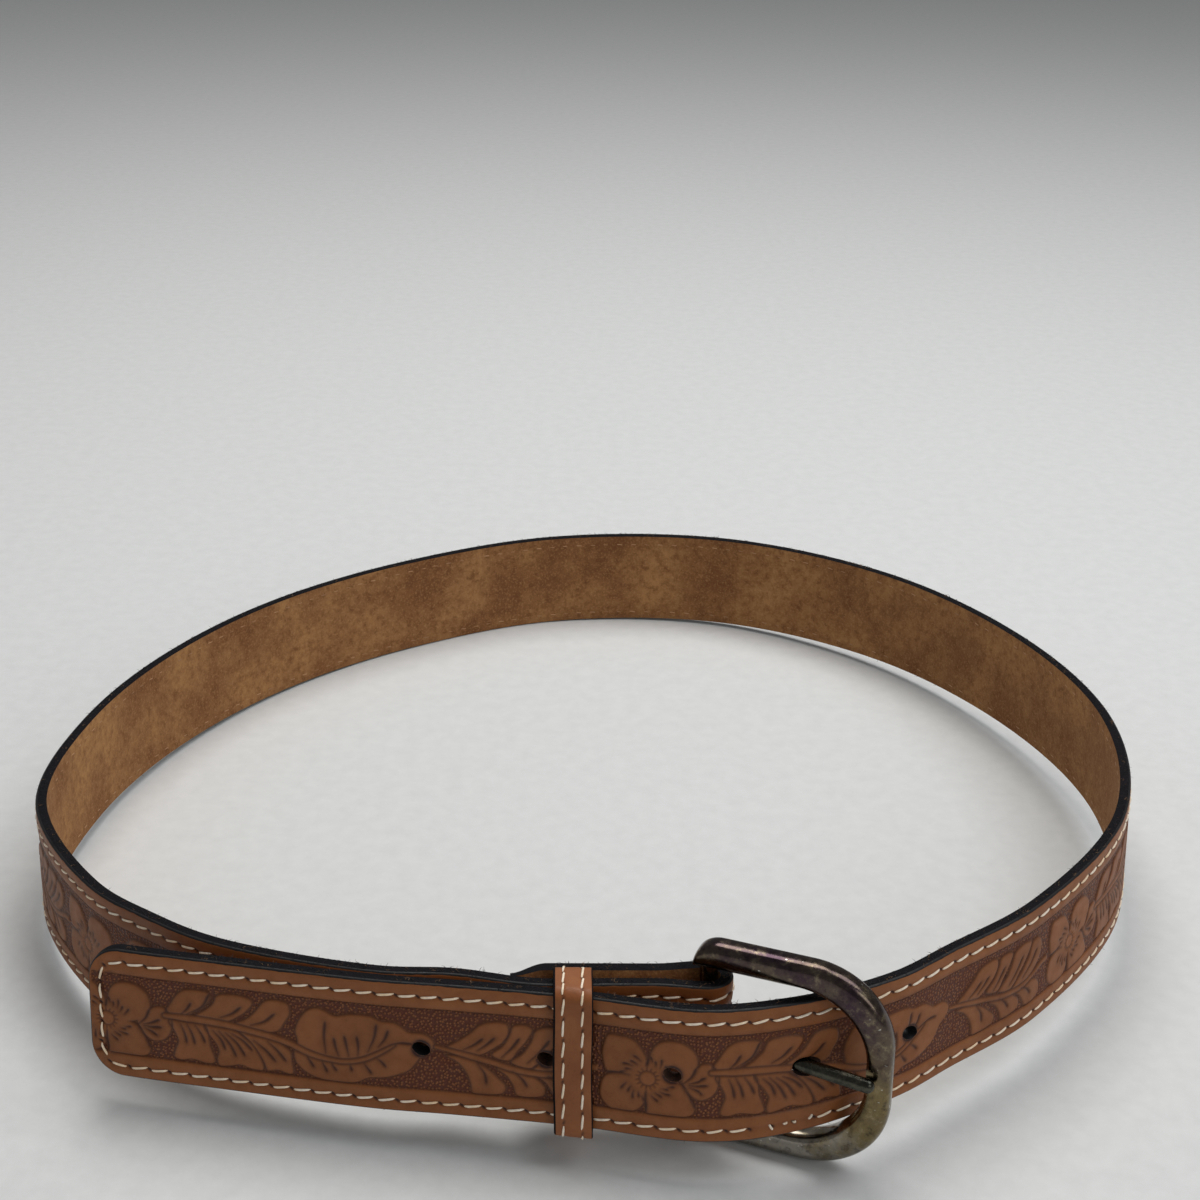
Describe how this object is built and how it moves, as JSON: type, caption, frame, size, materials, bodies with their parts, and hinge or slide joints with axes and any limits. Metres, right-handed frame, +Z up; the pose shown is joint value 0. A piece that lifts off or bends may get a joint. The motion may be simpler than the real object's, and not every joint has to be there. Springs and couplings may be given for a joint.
{
  "type": "tooled leather belt",
  "caption": "Western-style tooled leather belt, buckled into its waist loop and standing on edge, with a D-shaped metal buckle, a prong, punched holes and a stitched leather keeper.",
  "frame": {"origin": "middle of the bounding box on the floor that the belt stands on", "axes": "+X to the right along the buckled front, +Y from the buckle to the back of the loop, +Z up"},
  "size_m": [0.2954, 0.285, 0.0524],
  "materials": {
    "tooled_leather": "vegetable-tanned leather, tooled outside, rough flesh side inside, painted edges",
    "keeper_leather": "plain vegetable-tanned leather with two rows of stitches",
    "antiqued_nickel": "dark antiqued nickel worn to yellow and grey",
    "dark_nickel": "dark polished nickel",
    "rivet_nickel": "plain nickel"
  },
  "bodies": {
    "root": {"strap": "tooled_leather", "keeper": "keeper_leather", "buckle_frame": "antiqued_nickel", "prong": "dark_nickel", "fold_rivet_lower": "rivet_nickel", "fold_rivet_upper": "rivet_nickel"}
  },
  "joints": []
}
